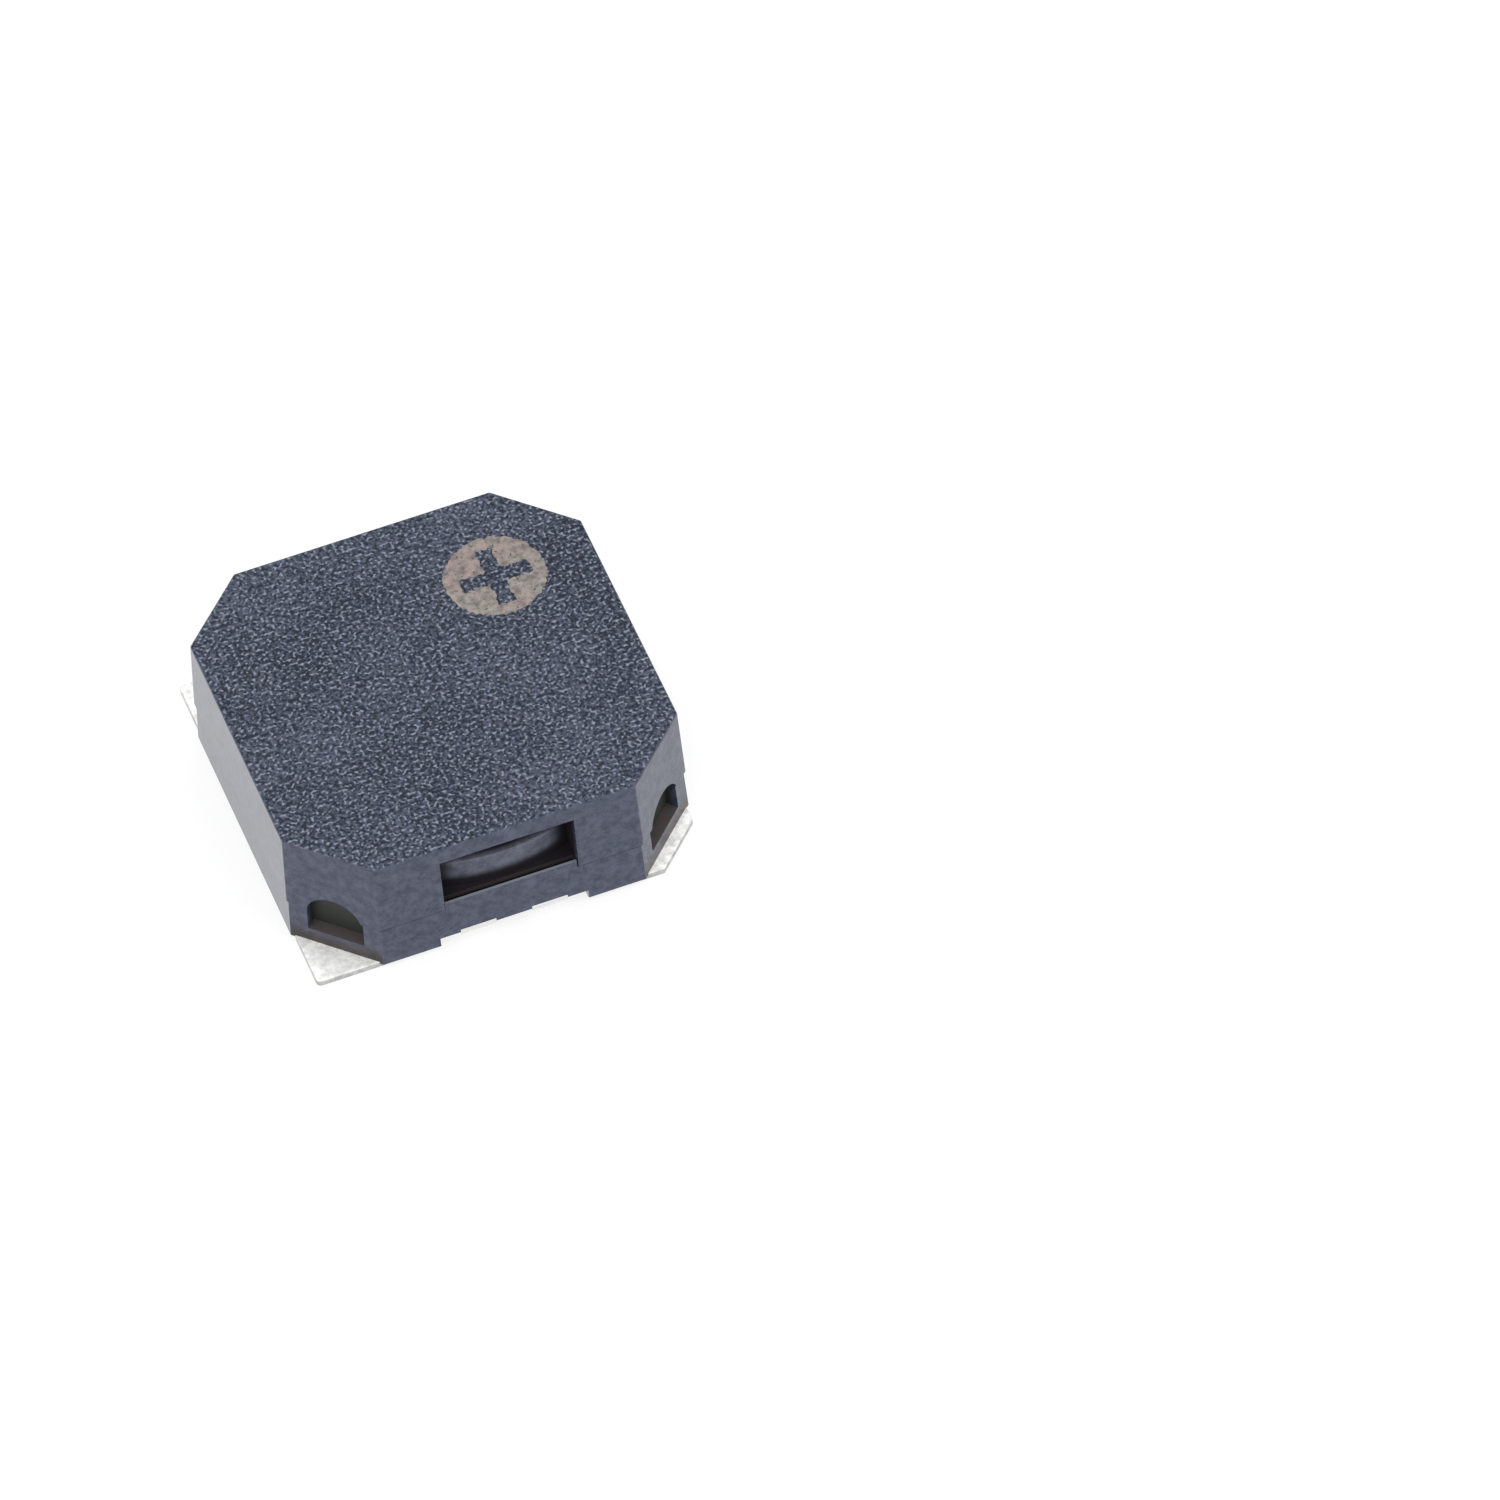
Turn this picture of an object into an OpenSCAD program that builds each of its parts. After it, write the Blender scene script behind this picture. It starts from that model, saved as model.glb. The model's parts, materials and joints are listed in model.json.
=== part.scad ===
// Surface-mount magnetic buzzer with a side sound slot.
// Millimetres, +Z up, origin on the seating plane under the middle of the body.
// The sound slot faces -Y and the plus mark on the cover lies towards +X +Y.

/* [Housing] */
// Width across the flat sides, at their widest
body_w = 8.5; // [8.3:0.1:10]
// Height from the solder pads to the top face
body_h = 3; // [2.8:0.1:4]
// Leg of each corner cut, where the body is widest
corner_cut = 1.46; // [1.36:0.02:1.56]
// Radius on the outer edges of both mouldings
edge_r = 0.06; // [0.03:0.01:0.09]
// How far each side of the cover leans in up to the top
cover_draft = 0.06; // [0.03:0.01:0.09]
// How far each side of the base leans in up to the joint
base_draft = 0.04; // [0.03:0.01:0.06]
// Height of the joint between base and cover
parting_z = 1.18; // [1.1:0.02:1.3]
// Height of the shadow groove under the cover
groove_h = 0.06; // [0.04:0.01:0.08]
// Depth of the shadow groove under the cover
groove_d = 0.1; // [0.06:0.01:0.12]
// Thickness of the cover roof
roof_t = 0.4; // [0.3:0.05:0.6]

/* [Sound slot] */
// Width of the slot in the front side
slot_w = 2.84; // [2.4:0.04:3.4]
// Material left between the slot and the top face
slot_roof = 0.42; // [0.4:0.02:0.7]
// Width of the lip along the foot of the slot
lip_w = 0.06; // [0.04:0.01:0.08]
// Height of the lip above the joint
lip_h = 0.12; // [0.08:0.01:0.15]
// Width of the channel behind the lip
channel_w = 0.25; // [0.15:0.01:0.26]
// Depth of the channel below the joint
channel_d = 0.35; // [0.2:0.05:0.4]

/* [Corner niches] */
// Width of the arched niche over each pad
niche_w = 1.24; // [0.8:0.02:1.3]
// Height of the niche above the joint
niche_rise = 0.44; // [0.3:0.02:0.5]
// Height of the floor of the niche
niche_floor = 0.5; // [0.4:0.05:0.6]
// Depth of the niche in the base
niche_base_d = 0.28; // [0.15:0.01:0.3]
// Depth of the niche in the cover
niche_cover_d = 0.22; // [0.1:0.01:0.25]

/* [Ring wall] */
// Ledge between the base side and the ring wall
sill_w = 0.34; // [0.32:0.01:0.38]
// Thickness of the ring wall above the diaphragm seat
ring_t = 0.25; // [0.2:0.01:0.35]
// Height of the ring wall above the joint
ring_h = 0.7; // [0.65:0.01:0.9]
// Bevel on the outer top edge of the ring wall
ring_bevel = 0.04; // [0.02:0.01:0.1]
// Depth of the diaphragm seat below the ring top
seat_depth = 0.33; // [0.31:0.01:0.36]
// Width of the diaphragm seat
seat_w = 0.45; // [0.35:0.01:0.55]
// Clearance of the cover round the ring wall
cover_fit = 0.02; // [0.01:0.01:0.04]

/* [Magnet system] */
// Height of the underside of the yoke plate
plate_z = 0.25; // [0.22:0.01:0.3]
// Thickness of the yoke plate
plate_t = 0.15; // [0.12:0.01:0.2]
// How far the yoke plate runs into the moulded wall
plate_hold = 0.1; // [0.05:0.01:0.15]
// Diameter of the pole core
core_d = 1.6; // [1.3:0.05:1.8]
// Diameter of the riveted spigot of the core
spigot_d = 1.1; // [0.8:0.05:1.2]
// Air gap between core and diaphragm
core_gap = 0.17; // [0.12:0.01:0.25]
// Clearance between magnet and cavity wall
magnet_fit = 0.05; // [0.02:0.01:0.08]
// Part of the room between core and cavity that the winding takes up
winding_part = 0.54; // [0.45:0.01:0.6]
// Clearance between coil and magnet
coil_gap = 0.15; // [0.1:0.01:0.25]
// Clearance between coil and core
core_fit = 0.04; // [0.02:0.01:0.06]
// Diameter of the coil leads
wire_d = 0.08; // [0.06:0.01:0.1]
// Height of the coil leads below the diaphragm seat
lead_drop = 0.17; // [0.15:0.01:0.2]
// Clearance round and under a coil lead
lead_room = 0.06; // [0.04:0.01:0.07]

/* [Diaphragm] */
// Thickness of the diaphragm
diaphragm_t = 0.05; // [0.03:0.01:0.08]
// Clearance between diaphragm and ring wall
diaphragm_fit = 0.04; // [0.02:0.01:0.08]
// Diameter of the armature disc
armature_d = 3.5; // [2.5:0.1:4.5]
// Thickness of the armature disc
armature_t = 0.22; // [0.15:0.01:0.25]

/* [Terminals] */
// Length of a pad along X
pad_x = 1.5; // [1.4:0.05:1.7]
// Length of a pad along Y
pad_y = 1.4; // [1.35:0.05:1.6]
// How far the outer sides of a pad stand in from the widest sides
pad_inset = 0.07; // [0.03:0.01:0.1]
// Thickness of the terminal sheet
sheet_t = 0.15; // [0.12:0.01:0.18]
// How far the pads stand below the moulding
pad_proud = 0.05; // [0.03:0.01:0.08]
// Leg of the cut on the inner corner of a pad
pad_inner_cut = 0.37; // [0.3:0.01:0.4]
// Radius on the outer corner of a pad
pad_outer_r = 0.1; // [0.05:0.01:0.15]
// Width of the strip that the polarity pad shows beyond the corner cut
polarity_strip = 0.25; // [0.15:0.01:0.4]
// Width of the riser inside the base
riser_w = 0.8; // [0.6:0.05:0.9]
// Length of the solder lug across the riser
lug_len = 0.4; // [0.36:0.01:0.42]
// Depth of the solder lug below the joint
lug_depth = 0.05; // [0.03:0.01:0.08]
// Height of the anchoring riser on a support terminal
anchor_h = 0.5; // [0.3:0.05:0.6]
// Bare lug left round a solder joint
solder_edge = 0.03; // [0.02:0.01:0.05]
// Height of a solder joint
solder_h = 0.16; // [0.15:0.01:0.17]

/* [Underside] */
// Diameter of the holding-pin holes
hole_d = 1; // [0.8:0.05:1.2]
// Distance of each hole from the middle
hole_x = 2.7; // [2.5:0.05:2.8]
// Width of the tie-bar recess
recess_w = 3.15; // [3:0.05:3.4]
// Depth of the tie-bar recess from the base side
recess_d = 0.5; // [0.3:0.05:0.55]
// Height of the roof of the tie-bar recess
recess_z = 0.33; // [0.26:0.01:0.36]
// Distance of the inner edge of a tie bar from the middle
bar_x = 0.38; // [0.3:0.02:0.5]
// Width of a tie bar at the plate
bar_w = 0.95; // [0.8:0.05:1]
// Width of the sheared end of a tie bar
bar_end_w = 0.76; // [0.6:0.02:0.78]
// Length of the sheared end of a tie bar
bar_end_l = 0.2; // [0.1:0.05:0.25]

/* [Hidden] */
$fn = 64;

// Cutters run past the faces that they open by this much
over = 0.5;
// Steps in a quarter round
round_steps = 4;

base_w = body_w - 2 * base_draft;
base_cut = corner_cut * base_w / body_w;
corner_r = (body_w - corner_cut) / sqrt(2);

ring_r = base_w / 2 - sill_w;
ring_in_r = ring_r - ring_t;
cavity_r = ring_in_r - seat_w;
ring_top = parting_z + ring_h;
seat_z = ring_top - seat_depth;
ceiling_z = body_h - roof_t;

plate_top = plate_z + plate_t;
plate_r = cavity_r + plate_hold;
core_top = seat_z - core_gap;
lead_z = seat_z - lead_drop;
magnet_top = lead_z - wire_d / 2 - lead_room;
magnet_r = cavity_r - magnet_fit;
coil_in_r = core_d / 2 + core_fit;
coil_r = coil_in_r + winding_part * (magnet_r - coil_gap - coil_in_r);
magnet_in_r = coil_r + coil_gap;

bend_d = 1.2 * wire_d;

riser_r = (body_w - pad_x - pad_y + pad_inner_cut) / sqrt(2);
lug_top = parting_z - lug_depth;
lug_mid_r = riser_r + lug_len / 2;
solder_d = lug_len - 2 * solder_edge;
lug_room_h = lead_z + wire_d / 2 + lead_room - parting_z;
polarity_cut = body_w - 2 * pad_inset - sqrt(2) * (corner_r + polarity_strip);

// Directions of the four corners, in degrees from +X
corners = [45, 135, 225, 315];
back_right = corners[0];
back_left = corners[1];
front_left = corners[2];
front_right = corners[3];

// Square with its four corners cut off
module cut_square(w, cut, r = 0) {
    h = w / 2;
    offset(r = r, $fn = 24) offset(delta = -r)
        polygon([for (q = [0:3]) for (p = [[h, h - cut], [h - cut, h]])
            [p.x * cos(90 * q) - p.y * sin(90 * q), p.x * sin(90 * q) + p.y * cos(90 * q)]]);
}

// Block on a cut square that leans in to a top width, with its upright and top edges rounded
module rounded_block(w, top_w, cut, z0, z1, r) {
    hull() {
        for (k = [0:round_steps]) {
            a = 90 * k / round_steps;
            translate([0, 0, z0])
                linear_extrude(z1 - z0 - r * (1 - sin(a)), scale = (top_w - 2 * r * (1 - cos(a))) / w)
                    cut_square(w, cut, r);
        }
    }
}

// Block on a cut square that leans in to a top width, with its bottom edge bevelled
module bevelled_block(w, top_w, cut, z0, z1, bevel) {
    hull() {
        translate([0, 0, z0])
            linear_extrude(z1 - z0, scale = top_w / w) cut_square(w - 2 * bevel, cut);
        translate([0, 0, z0 + bevel])
            linear_extrude(z1 - z0 - bevel, scale = top_w / w) cut_square(w, cut);
    }
}

// Arched niche cutter on every corner cut, reaching a depth in from the corner face
module corner_niches(depth) {
    arch_z = parting_z + niche_rise - niche_w / 2;
    for (a = corners)
        rotate(a) translate([corner_r - depth, 0, 0]) {
            translate([0, -niche_w / 2, niche_floor])
                cube([depth + over, niche_w, arch_z - niche_floor]);
            intersection() {
                translate([0, 0, arch_z]) rotate([0, 90, 0])
                    cylinder(h = depth + over, d = niche_w);
                translate([-over, -niche_w, niche_floor])
                    cube([depth + 3 * over, 2 * niche_w, body_h]);
            }
        }
}

// Moulded cover with the sound slot, ring clearance and solder relief
module upper_cover() {
    color("darkslategray") difference() {
        rounded_block(body_w, body_w - 2 * cover_draft, corner_cut, parting_z, body_h, edge_r);
        translate([0, 0, parting_z - over])
            cylinder(h = ceiling_z - parting_z + over, r = ring_r + cover_fit);
        translate([-slot_w / 2, -body_w / 2 - over, parting_z - over])
            cube([slot_w, body_w / 2, body_h - slot_roof - parting_z + over]);
        corner_niches(niche_cover_d);
        for (a = [back_right, front_right])
            rotate(a) translate([ring_r - over, -riser_w / 2, parting_z - over])
                cube([riser_r + lug_len - ring_r + over, riser_w, lug_room_h + over]);
    }
}

// Ring wall with the diaphragm seat, drawn as half a section
module ring_section() {
    polygon([
        [cavity_r - over, parting_z - over],
        [ring_r, parting_z - over],
        [ring_r, ring_top - ring_bevel],
        [ring_r - ring_bevel, ring_top],
        [ring_in_r, ring_top],
        [ring_in_r, seat_z],
        [cavity_r - over, seat_z]
    ]);
}

// Moulded base with the ring wall, formed round the plate and the terminals
module base_housing() {
    color("slategray") difference() {
        union() {
            bevelled_block(body_w, base_w, corner_cut, pad_proud, parting_z - groove_h, edge_r);
            translate([0, 0, plate_top]) linear_extrude(parting_z - plate_top)
                cut_square(base_w - 2 * groove_d, base_cut);
            rotate_extrude() ring_section();
            translate([cover_fit - slot_w / 2, -base_w / 2, parting_z - over])
                cube([slot_w - 2 * cover_fit, lip_w + channel_w / 2, over + lip_h]);
        }
        translate([-slot_w / 2, lip_w - base_w / 2, parting_z - channel_d])
            cube([slot_w, channel_w, channel_d + over]);
        translate([0, 0, plate_top])
            cylinder(h = body_h, r = cavity_r);
        yoke_blank(over);
        for (s = [-1, 1]) {
            translate([s * hole_x, 0, -over])
                cylinder(h = plate_z + over, d = hole_d);
            translate([-recess_w / 2, s * body_w / 2 - recess_d, -over])
                cube([recess_w, 2 * recess_d, recess_z + over]);
        }
        corner_niches(niche_base_d);
        signal_terminal(back_right);
        signal_terminal(front_right, polarity_cut);
        support_terminal(front_left);
        support_terminal(back_left);
        for (a = [back_right, front_right])
            rotate(a) {
                translate([riser_r, -riser_w / 2, lug_top])
                    cube([lug_len, riser_w, lug_depth + over]);
                translate([cavity_r - over, 0, lead_z]) rotate([0, 90, 0])
                    cylinder(h = ring_r - cavity_r + 2 * over, d = wire_d + 2 * lead_room);
            }
    }
}

// Tie bar of the yoke plate, towards +X +Y, stepped in on its outer side
module tie_bar(extra) {
    end_y = body_w / 2 - base_draft / 2;
    step_y = end_y - bar_end_l;
    linear_extrude(plate_t) polygon([
        [bar_x, 0],
        [bar_x + bar_w, 0],
        [bar_x + bar_w, step_y],
        [bar_x + bar_end_w, step_y],
        [bar_x + bar_end_w, end_y + extra],
        [bar_x, end_y + extra]
    ]);
}

// Flat blank of the yoke plate; extra lengthens its tie bars
module yoke_blank(extra = 0) {
    translate([0, 0, plate_z]) {
        cylinder(h = plate_t, r = plate_r);
        for (mx = [0, 1]) for (my = [0, 1])
            mirror([mx, 0, 0]) mirror([0, my, 0]) tie_bar(extra);
    }
}

// Plated steel plate that closes the magnet circuit under the coil
module yoke_plate() {
    color("silver") difference() {
        yoke_blank();
        translate([0, 0, plate_z - over])
            cylinder(h = plate_t + 2 * over, d = spigot_d);
    }
}

// Iron core, riveted into the plate by its spigot
module pole_core() {
    color("gray") {
        translate([0, 0, plate_top])
            cylinder(h = core_top - plate_top, d = core_d);
        translate([0, 0, plate_z])
            cylinder(h = plate_t, d = spigot_d);
    }
}

// Ring magnet on the plate
module magnet_ring() {
    color("dimgray") translate([0, 0, plate_top]) difference() {
        cylinder(h = magnet_top - plate_top, r = magnet_r);
        translate([0, 0, -over])
            cylinder(h = magnet_top - plate_top + 2 * over, r = magnet_in_r);
    }
}

// Straight length of lead between two points of the upright plane through a corner,
// with a rounded bend at its start
module lead_run(p, q, bend) {
    d = q - p;
    translate([p.x, 0, p.y]) {
        rotate([0, atan2(d.x, d.y), 0]) cylinder(h = norm(d), d = wire_d);
        if (bend) sphere(d = bend_d);
    }
}

// Lead from the coil over the magnet, through the ring wall and down to its lug
module coil_lead() {
    route = [
        [coil_r - wire_d, magnet_top - wire_d],
        [coil_r + wire_d, lead_z],
        [ring_r + wire_d, lead_z],
        [lug_mid_r, lug_top + wire_d]
    ];
    for (k = [0:len(route) - 2])
        lead_run(route[k], route[k + 1], k > 0);
}

// Copper winding round the core, with its two leads
module drive_coil() {
    color("peru") {
        translate([0, 0, plate_top]) difference() {
            cylinder(h = magnet_top - plate_top - wire_d / 2, r = coil_r);
            translate([0, 0, -over])
                cylinder(h = magnet_top + over, r = coil_in_r);
        }
        for (a = [back_right, front_right])
            rotate(a) coil_lead();
    }
}

// Thin spring-steel disc on its seat
module diaphragm() {
    color("lightsteelblue") translate([0, 0, seat_z])
        cylinder(h = diaphragm_t, r = ring_in_r - diaphragm_fit);
}

// Iron disc fixed to the middle of the diaphragm
module armature_disc() {
    color("darkgray") translate([0, 0, seat_z + diaphragm_t])
        cylinder(h = armature_t, d = armature_d);
}

// Flat pad in the corner towards +X +Y; outer_cut takes off its outer corner
module pad_blank(outer_cut) {
    h = body_w / 2 - pad_inset;
    x0 = body_w / 2 - pad_x;
    y0 = body_w / 2 - pad_y;
    outer = outer_cut > 0 ? outer_cut : pad_outer_r;
    linear_extrude(sheet_t) {
        polygon([
            [x0 + pad_inner_cut, y0],
            [h, y0],
            [h, h - outer],
            [h - outer, h],
            [x0, h],
            [x0, y0 + pad_inner_cut]
        ]);
        if (outer_cut == 0)
            translate([h - pad_outer_r, h - pad_outer_r]) circle(pad_outer_r);
    }
}

// Pad turned to the corner in direction a, with its long side kept along X
module corner_pad(a, outer_cut) {
    mirror([cos(a) < 0 ? 1 : 0, 0, 0]) mirror([0, sin(a) < 0 ? 1 : 0, 0])
        pad_blank(outer_cut);
}

// Upright sheet on a pad, from the pad's top to a height
module riser(a, top) {
    rotate(a) translate([riser_r, -riser_w / 2, sheet_t])
        cube([sheet_t, riser_w, top - sheet_t]);
}

// Terminal that carries a coil lead: pad, riser and solder lug
module signal_terminal(a, outer_cut = 0) {
    corner_pad(a, outer_cut);
    riser(a, lug_top);
    rotate(a) translate([riser_r, -riser_w / 2, lug_top - sheet_t])
        cube([lug_len, riser_w, sheet_t]);
}

// Terminal that only holds the part down: pad and a short anchoring riser
module support_terminal(a) {
    corner_pad(a, 0);
    riser(a, sheet_t + anchor_h);
}

module terminal_positive() {
    color("gainsboro") signal_terminal(back_right);
}

module terminal_negative() {
    color("gainsboro") signal_terminal(front_right, polarity_cut);
}

module support_terminal_front() {
    color("gainsboro") support_terminal(front_left);
}

module support_terminal_back() {
    color("gainsboro") support_terminal(back_left);
}

// Dome of solder on a lug, closed round the end of the lead
module solder_joint(a) {
    dome_r = (solder_d * solder_d / 4 + solder_h * solder_h) / (2 * solder_h);
    rotate(a) difference() {
        translate([lug_mid_r, 0, lug_top]) intersection() {
            translate([0, 0, solder_h - dome_r]) sphere(dome_r);
            cylinder(h = solder_h, d = solder_d + over);
        }
        coil_lead();
    }
}

module solder_joint_positive() {
    color("lightgray") solder_joint(back_right);
}

module solder_joint_negative() {
    color("lightgray") solder_joint(front_right);
}

upper_cover();
base_housing();
yoke_plate();
pole_core();
magnet_ring();
drive_coil();
diaphragm();
armature_disc();
terminal_positive();
terminal_negative();
support_terminal_front();
support_terminal_back();
solder_joint_positive();
solder_joint_negative();
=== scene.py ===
"""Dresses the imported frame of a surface-mount magnetic buzzer.

The CAD nodes carry the shape. This script gives every node its finish, models the soft tin skin of
the four terminals and the polarity mark on the cover, and sets the floor, the light and the camera.
Sizes in the classes are millimetres. A finished mesh is in metres, in the frame of the CAD.
"""

import json
import logging
import math
from collections.abc import Callable, Iterator
from dataclasses import dataclass
from enum import Enum

import bpy
from mathutils import Matrix, Vector

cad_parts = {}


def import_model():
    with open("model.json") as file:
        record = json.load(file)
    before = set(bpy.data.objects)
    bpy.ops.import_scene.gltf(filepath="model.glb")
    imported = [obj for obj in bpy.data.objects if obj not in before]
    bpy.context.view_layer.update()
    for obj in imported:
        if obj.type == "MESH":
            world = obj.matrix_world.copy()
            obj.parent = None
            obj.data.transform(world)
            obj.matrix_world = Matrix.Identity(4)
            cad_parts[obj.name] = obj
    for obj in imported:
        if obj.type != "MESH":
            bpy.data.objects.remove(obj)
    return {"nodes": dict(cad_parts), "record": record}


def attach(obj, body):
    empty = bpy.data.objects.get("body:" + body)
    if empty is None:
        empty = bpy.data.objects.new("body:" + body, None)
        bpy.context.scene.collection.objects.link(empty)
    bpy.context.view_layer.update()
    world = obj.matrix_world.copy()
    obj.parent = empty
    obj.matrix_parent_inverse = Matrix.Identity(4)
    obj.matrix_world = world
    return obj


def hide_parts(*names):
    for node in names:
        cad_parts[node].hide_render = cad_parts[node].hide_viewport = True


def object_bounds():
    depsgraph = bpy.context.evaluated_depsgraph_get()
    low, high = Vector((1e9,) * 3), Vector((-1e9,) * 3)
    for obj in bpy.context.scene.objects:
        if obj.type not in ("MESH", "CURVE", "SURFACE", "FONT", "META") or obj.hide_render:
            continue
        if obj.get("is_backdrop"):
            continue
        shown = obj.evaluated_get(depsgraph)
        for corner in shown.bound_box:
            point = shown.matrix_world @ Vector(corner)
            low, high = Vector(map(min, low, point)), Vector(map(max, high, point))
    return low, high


LOG = logging.getLogger("buzzer")
MM = 0.001

Colour = tuple[float, float, float]
Point = tuple[float, float, float]
Span = tuple[float, float]
Socket = bpy.types.NodeSocket


class Pattern(Enum):
    """How the making of a metal marks its surface, as a stretch of the pattern along X, Y and Z."""

    CLOUDED = (1.0, 1.0, 1.0)
    ROLLED = (0.08, 1.0, 1.0)
    TURNED = (1.0, 1.0, 0.1)
    WOUND = (0.1, 0.1, 1.0)


class Corner(Enum):
    """Corners of the footprint, as the signs of X and Y."""

    BACK_RIGHT = (1, 1)
    BACK_LEFT = (-1, 1)
    FRONT_LEFT = (-1, -1)
    FRONT_RIGHT = (1, -1)


class Zone(Enum):
    """Zones of the housing that differ in their finish or in the light and shade painted on them."""

    TEXTURED = "Textured"
    INSIDE = "Inside"
    LIT = "Lit"
    STEP = "Step"
    LIP = "Lip"
    NICHE = "Niche"
    SHELF = "Shelf"
    GRIME = "Grime"


class Joining(Enum):
    """Ways to bring a tool and a piece together."""

    ADDED = "UNION"
    CUT_OUT = "DIFFERENCE"


class NodeSheet:
    """Adds nodes to one node tree and joins their sockets."""

    def __init__(self, tree: bpy.types.NodeTree) -> None:
        """Works on a tree."""
        self.tree = tree

    def add(self, kind: str, **settings: object) -> bpy.types.Node:
        """Adds a node.

        Args:
            kind: Blender's name of the node type.
            settings: properties of the node.

        Returns:
            The new node.
        """
        node = self.tree.nodes.new(kind)
        for key, value in settings.items():
            setattr(node, key, value)
        return node

    def feed(self, target: Socket, value: object) -> None:
        """Joins a socket to a target, or sets the target's own value.

        Args:
            target: input socket.
            value: output socket, number, colour or vector.
        """
        if isinstance(value, bpy.types.NodeSocket):
            self.tree.links.new(value, target)
        elif isinstance(value, tuple) and target.type == "RGBA":
            target.default_value = (*value, 1.0)
        else:
            target.default_value = value

    def millimetres(self) -> Socket:
        """Adds the object's own coordinates, scaled up from metres.

        Returns:
            The coordinates in millimetres.
        """
        place = self.add("ShaderNodeTexCoord")
        scale = self.add("ShaderNodeVectorMath", operation="SCALE")
        self.feed(scale.inputs[0], place.outputs["Object"])
        self.feed(scale.inputs["Scale"], 1.0 / MM)
        return scale.outputs[0]

    def sums(self, operation: str, a: object, b: object = 0.0, clamp: bool = False) -> Socket:
        """Adds a math node.

        Args:
            operation: Blender's name of the operation.
            a: first socket or number.
            b: second socket or number.
            clamp: keeps the result between 0 and 1.

        Returns:
            The result.
        """
        node = self.add("ShaderNodeMath", operation=operation, use_clamp=clamp)
        self.feed(node.inputs[0], a)
        self.feed(node.inputs[1], b)
        return node.outputs[0]

    def near(self, value: Socket, target: object, reach: object) -> Socket:
        """Finds where a value is near a target.

        Args:
            value: socket to test.
            target: what it is to be near.
            reach: largest difference that still counts as near.

        Returns:
            1 where the value is near the target, and 0 elsewhere.
        """
        node = self.add("ShaderNodeMath", operation="COMPARE")
        for socket, part in zip(node.inputs, (value, target, reach)):
            self.feed(socket, part)
        return node.outputs[0]

    def noise(self, vector: Socket, scale: object, detail: float, rough: float = 0.5) -> Socket:
        """Adds a noise texture.

        Args:
            vector: coordinates in millimetres.
            scale: blots to a millimetre.
            detail: octaves.
            rough: share of each finer octave.

        Returns:
            The noise as a value.
        """
        node = self.add("ShaderNodeTexNoise")
        self.feed(node.inputs["Vector"], vector)
        self.feed(node.inputs["Scale"], scale)
        self.feed(node.inputs["Detail"], detail)
        self.feed(node.inputs["Roughness"], rough)
        return node.outputs[0]

    def stretch(
        self, value: Socket, low: object, high: object, to: tuple[object, object] = (0.0, 1.0)
    ) -> Socket:
        """Maps a range of a value smoothly onto another.

        Args:
            value: socket to map.
            low: value that becomes the first of the new range.
            high: value that becomes the last of the new range.
            to: new range.

        Returns:
            The mapped value.
        """
        node = self.add("ShaderNodeMapRange", interpolation_type="SMOOTHSTEP")
        names = ("Value", "From Min", "From Max", "To Min", "To Max")
        for name, part in zip(names, (value, low, high, *to)):
            self.feed(node.inputs[name], part)
        return node.outputs[0]

    def share_out(self, share: Socket, to: tuple[object, object]) -> Socket:
        """Returns a share from 0 to 1, mapped smoothly onto a range."""
        return self.stretch(share, 0.0, 1.0, to)

    def blend(self, share: object, a: object, b: object) -> Socket:
        """Mixes two colours.

        Args:
            share: part of the second colour.
            a: first colour.
            b: second colour.

        Returns:
            The mixed colour.
        """
        node = self.add("ShaderNodeMix", data_type="RGBA")
        # A Mix node has an A, a B and a result for each kind of data, so those for colours go by number.
        self.feed(node.inputs[0], share)
        self.feed(node.inputs[6], a)
        self.feed(node.inputs[7], b)
        return node.outputs[2]

    def bump(self, height: Socket, depth: float) -> Socket:
        """Turns a height into a normal.

        Args:
            height: height from 0 to 1.
            depth: millimetres between heights 0 and 1.

        Returns:
            The normal.
        """
        node = self.add("ShaderNodeBump")
        self.feed(node.inputs["Height"], height)
        self.feed(node.inputs["Distance"], depth * MM)
        self.feed(node.inputs["Strength"], 1.0)
        return node.outputs[0]


GroupParts = tuple[NodeSheet, bpy.types.Node, bpy.types.Node]


def new_group(name: str, inputs: dict[str, float], outputs: tuple[str, ...]) -> GroupParts:
    """Starts a shader node group with number sockets.

    Args:
        name: name of the group.
        inputs: input sockets with their plain values.
        outputs: output sockets.

    Returns:
        The group's sheet, its input node and its output node.
    """
    tree = bpy.data.node_groups.new(name, "ShaderNodeTree")
    for key, value in inputs.items():
        socket = tree.interface.new_socket(key, in_out="INPUT", socket_type="NodeSocketFloat")
        socket.default_value = value
    for key in outputs:
        tree.interface.new_socket(key, in_out="OUTPUT", socket_type="NodeSocketFloat")
    sheet = NodeSheet(tree)
    return sheet, sheet.add("NodeGroupInput"), sheet.add("NodeGroupOutput")


def level_mask() -> bpy.types.NodeTree:
    """Makes or finds the mask of level faces.

    Returns:
        A group with the output Level, which is 1 on level faces and 0 on upright ones.
    """
    name = "level_mask"
    if name in bpy.data.node_groups:
        return bpy.data.node_groups[name]
    inputs = {"Upright Below": 0.35, "Level Above": 0.95}
    sheet, given, put = new_group(name, inputs, ("Level",))
    facing = sheet.add("ShaderNodeSeparateXYZ")
    sheet.feed(facing.inputs[0], sheet.add("ShaderNodeTexCoord").outputs["Normal"])
    upward = sheet.sums("ABSOLUTE", facing.outputs["Z"])
    level = sheet.stretch(upward, given.outputs["Upright Below"], given.outputs["Level Above"])
    sheet.feed(put.inputs["Level"], level)
    return sheet.tree


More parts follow.
